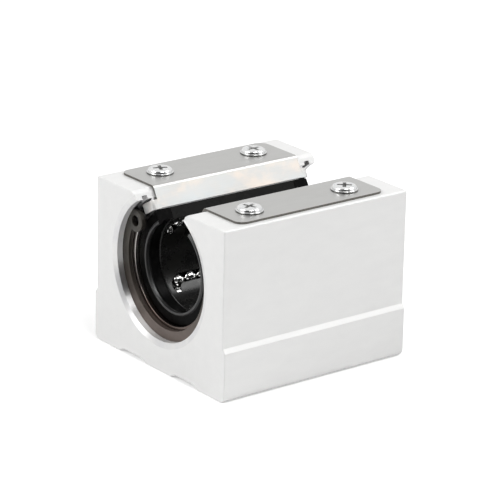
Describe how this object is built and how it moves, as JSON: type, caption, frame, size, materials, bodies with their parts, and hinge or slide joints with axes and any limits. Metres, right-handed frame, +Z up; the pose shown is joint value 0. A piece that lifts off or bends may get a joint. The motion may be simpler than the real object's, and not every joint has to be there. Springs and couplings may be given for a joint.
{
  "type": "linear bearing block",
  "caption": "Open linear bearing block: a slotted aluminium housing on a flat foot with a recirculating ball bushing, end seals, circlips and screwed retaining plates.",
  "frame": {"origin": "middle of the mounting face", "axes": "+X along the bore, +Z up from the mounting face through the slot, +Y across the block"},
  "size_m": [0.05, 0.048, 0.0401],
  "materials": {
    "anodised_aluminium": "natural matte anodised",
    "bearing_steel": "ground",
    "ball_steel": "polished",
    "black_resin": "moulded, satin",
    "black_rubber": "smooth",
    "spring_steel_ring": "bright",
    "phosphated_steel": "dark phosphated, oiled",
    "stainless_sheet": "fine grain, satin",
    "zinc_steel": "bright zinc plated"
  },
  "bodies": {
    "root": {"housing_block": "anodised_aluminium", "bearing_sleeve": "bearing_steel", "ball_cage": "black_resin", "ball_circuit_lower_left": "ball_steel", "ball_circuit_lower_right": "ball_steel", "ball_circuit_upper_left": "ball_steel", "ball_circuit_upper_right": "ball_steel", "end_seal_front": "black_rubber", "end_seal_rear": "black_rubber", "spring_ring_front": "spring_steel_ring", "spring_ring_rear": "spring_steel_ring", "circlip_front": "phosphated_steel", "circlip_rear": "phosphated_steel", "retaining_plate_left": "stainless_sheet", "retaining_plate_right": "stainless_sheet", "plate_screws": "zinc_steel"}
  },
  "joints": []
}
